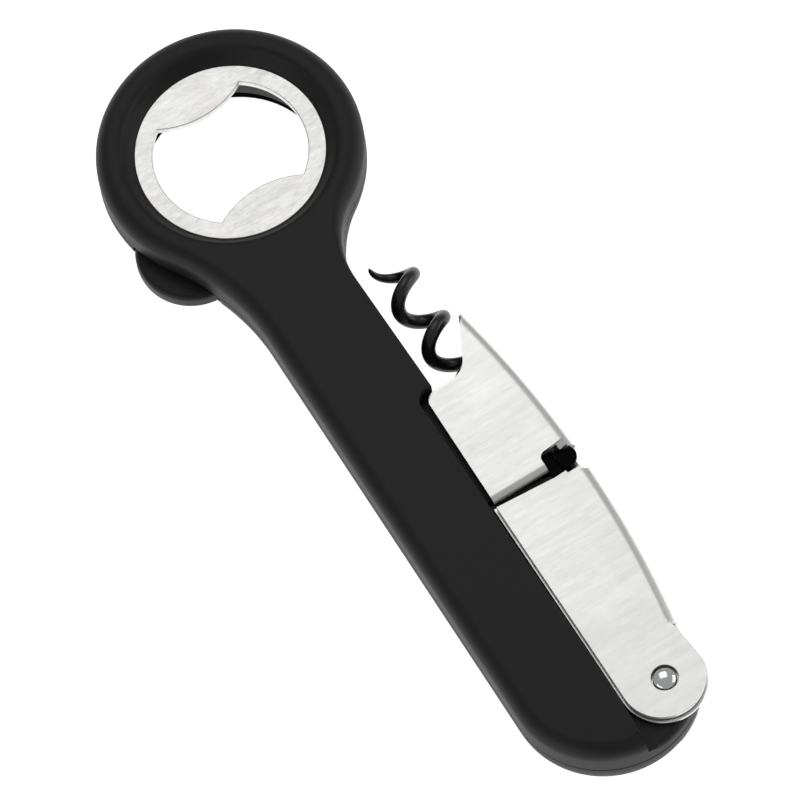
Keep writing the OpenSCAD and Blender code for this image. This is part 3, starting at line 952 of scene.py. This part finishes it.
ACROSS = (7500.0, 420.0, 420.0)
SHORT = (4200.0, 900.0, 900.0)
lever_finish = brushed("brushed_lever_steel", ACROSS, (0.83, 0.83, 0.815), (0.9, 0.9, 0.885), 0.3)
plate_finish = brushed("brushed_plate_steel", SHORT, (0.76, 0.755, 0.735), (0.92, 0.915, 0.895), 0.34)
channel_finish = brushed("channel_steel_strip", ACROSS, (0.7, 0.7, 0.69), (0.88, 0.88, 0.87), 0.24)
print("sheet finishes made")

# %% [markdown]
# Turned and drawn steel has fine rings or drawing marks and a brighter polish. One function
# covers the rivet, the pins, the spring, the screws and the wheels, because they differ only in
# colour, grain and how polished they are.

# %% Polished, cast and coated metal
def turned(name, dark, light, rough, scale, metal=1.0):
    """Machined metal with fine marks and faint handling wear."""
    finish = Finish(name)
    marks = finish.noise(scale, 3.0, (1, 1, 4))
    wear = finish.span(finish.noise(240.0, 3.0), 0.4, 0.7)
    finish.surface(Base_Color=finish.shade(wear, dark, light),
                   Roughness=rough + 0.08 * marks + 0.05 * wear,
                   Normal=finish.bump(marks, 0.04, 0.00002))
    finish.surface(Metallic=metal)
    return finish.material


def worm_finish(name):
    """Black slippery coat over the worm's wire."""
    finish = Finish(name)
    drag = finish.span(finish.noise(700.0, 3.0), 0.35, 0.7)
    finish.surface(Base_Color=finish.shade(drag, (0.006, 0.006, 0.0065), (0.011, 0.011, 0.0115)),
                   Roughness=0.26 + 0.08 * drag,
                   Normal=finish.bump(drag, 0.05, 0.00004))
    finish.surface(Specular_IOR_Level=0.55)
    return finish.material


rivet_finish = turned("chrome_rivet", (0.78, 0.79, 0.8), (0.86, 0.87, 0.88), 0.07, 1500.0)
pin_finish = turned("ground_pin", (0.55, 0.56, 0.57), (0.66, 0.67, 0.68), 0.22, 2600.0)
spring_finish = turned("drawn_spring", (0.5, 0.51, 0.52), (0.62, 0.63, 0.64), 0.25, 1800.0)
wheel_finish = turned("ground_wheel", (0.62, 0.63, 0.64), (0.75, 0.76, 0.77), 0.18, 3000.0)
screw_finish = turned("zinc_screw", (0.32, 0.33, 0.34), (0.45, 0.46, 0.47), 0.3, 2200.0)
bush_finish = turned("brass_bush", (0.6, 0.42, 0.16), (0.72, 0.52, 0.22), 0.26, 2400.0)
# The core's near-black is painted shade, so that its cheeks in the hollow by the hinge look as dark as
# the shade there.
core_painted_shade = turned("core_casting_painted_shade", (0.012, 0.012, 0.013), (0.02, 0.02, 0.021), 0.5, 900.0, 0.0)
coat_finish = worm_finish("gloss_worm_coat")
print("metal finishes made")

# %% [markdown]
# Each finish goes on its parts. The parts that come straight from the frame get theirs in the
# same way as the new ones, in place of the plain colour they were loaded with.

# %% Put the finishes on
FINISHES = {
    grip_finish: [front, back],
    arm_finish: [arm],
    plate_finish: [plate],
    lever_finish: [cover, tip, knuckles],
    channel_finish: [channel, tongue],
    rivet_finish: [rivet],
    coat_finish: [worm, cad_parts["worm_hub"]],
    # painted shade on the hinge block, the hinge caps and the washers
    painted_shade_black: [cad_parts[n] for n in ("hinge_block", "hinge_caps", "lever_washers")],
    pin_finish: [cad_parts[n] for n in ("hinge_pin", "worm_pin", "foil_pin", "wheel_axles")],
    spring_finish: [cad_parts["foil_spring"]],
    wheel_finish: [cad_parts[n] for n in ("cutter_wheel_left", "cutter_wheel_right")],
    screw_finish: [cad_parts["grip_screws"]],
    bush_finish: [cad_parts["pivot_bush"]],
    # painted shade on the core
    core_painted_shade: [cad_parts["core_frame"]],
}
for finish, pieces in FINISHES.items():
    for piece in pieces:
        piece.data.materials.clear()
        piece.data.materials.append(finish)
print("finishes on", sum(len(p) for p in FINISHES.values()), "pieces")

# %% [markdown]
# The tool is seen from above its back end, with a long lens so that it hardly tapers. The
# camera is set by three directions: towards the camera, to its right, and up.

# %% Camera
TOWARDS = Vector((0.4032, -0.1640, 0.9003)).normalized()
RIGHT = Vector((0.5247, 0.8476, -0.0806)).normalized()
DISTANCE = 4.0
VIEW_WIDTH = 0.153
LOOK_AT = Vector((0.0008, -0.0003, 0.0143))

camera_data = bpy.data.cameras.new("camera")
camera_data.sensor_width = 36
camera_data.lens = 36 * DISTANCE / VIEW_WIDTH
camera = bpy.data.objects.new("camera", camera_data)
bpy.context.scene.collection.objects.link(camera)
up = TOWARDS.cross(RIGHT)
axes = Matrix((RIGHT, up, TOWARDS)).transposed().to_4x4()
camera.matrix_world = Matrix.Translation(LOOK_AT + TOWARDS * DISTANCE) @ axes
bpy.context.scene.camera = camera
print("lens", round(camera_data.lens, 1), "mm")

# %% [markdown]
# A studio table is white and lit from all round. The floor glows a little, so that the tool's
# sides pick up a soft edge of light from it. Three soft boxes stand where the steel reflects
# them towards the camera.

# %% Floor, world and lights
floor_bm = bmesh.new()
bmesh.ops.create_grid(floor_bm, x_segments=1, y_segments=1, size=3)
floor_mesh = bpy.data.meshes.new("floor")
floor_bm.to_mesh(floor_mesh)
floor_bm.free()
floor = bpy.data.objects.new("floor", floor_mesh)
bpy.context.scene.collection.objects.link(floor)
floor_finish = Finish("studio_table")
floor_finish.surface(Base_Color=(0.8, 0.8, 0.8, 1), Roughness=0.8, Emission_Color=(1, 1, 1, 1),
                     Emission_Strength=0.92)
floor_finish.surface(Specular_IOR_Level=0.0)
floor.data.materials.append(floor_finish.material)
floor.visible_diffuse = False
floor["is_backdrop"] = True

world = bpy.data.worlds.new("studio")
world.use_nodes = True
world.node_tree.nodes["Background"].inputs["Color"].default_value = (1, 1, 1, 1)
world.node_tree.nodes["Background"].inputs["Strength"].default_value = 0.34
bpy.context.scene.world = world
bpy.context.scene.view_settings.view_transform = "Standard"


def soft_box(name, direction, distance, size, power):
    """A square light that faces the tool from a direction."""
    data = bpy.data.lights.new(name, "AREA")
    data.shape = "RECTANGLE"
    data.size = size[0]
    data.size_y = size[1]
    data.energy = power
    lamp = bpy.data.objects.new(name, data)
    bpy.context.scene.collection.objects.link(lamp)
    place = Vector(direction).normalized() * distance
    lamp.matrix_world = Matrix.Translation(place) @ place.to_track_quat("Z", "Y").to_matrix().to_4x4()
    return lamp


soft_box("key", (-0.53, 0.17, 0.84), 0.8, (0.5, 0.55), 0.86)
soft_box("edge", (0.35, 0.9, 0.45), 0.9, (0.7, 0.5), 1.6)
soft_box("side", (0.3, -0.9, 0.3), 0.9, (0.7, 0.3), 1.2)
print("lights placed")

# %% [markdown]
# The last step compares sizes: how far the box has moved, now that the skins stand in for the parts.
# The last check is size: the skins must not have outgrown the parts that they stand for.

# %% Compare the sizes and finish
looks_box = [list(corner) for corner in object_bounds()]
growth = [round(1000 * (b - a), 2) for s, l in zip(solid_box, looks_box) for a, b in zip(s, l)]
print("the box moved by, in mm:", growth)
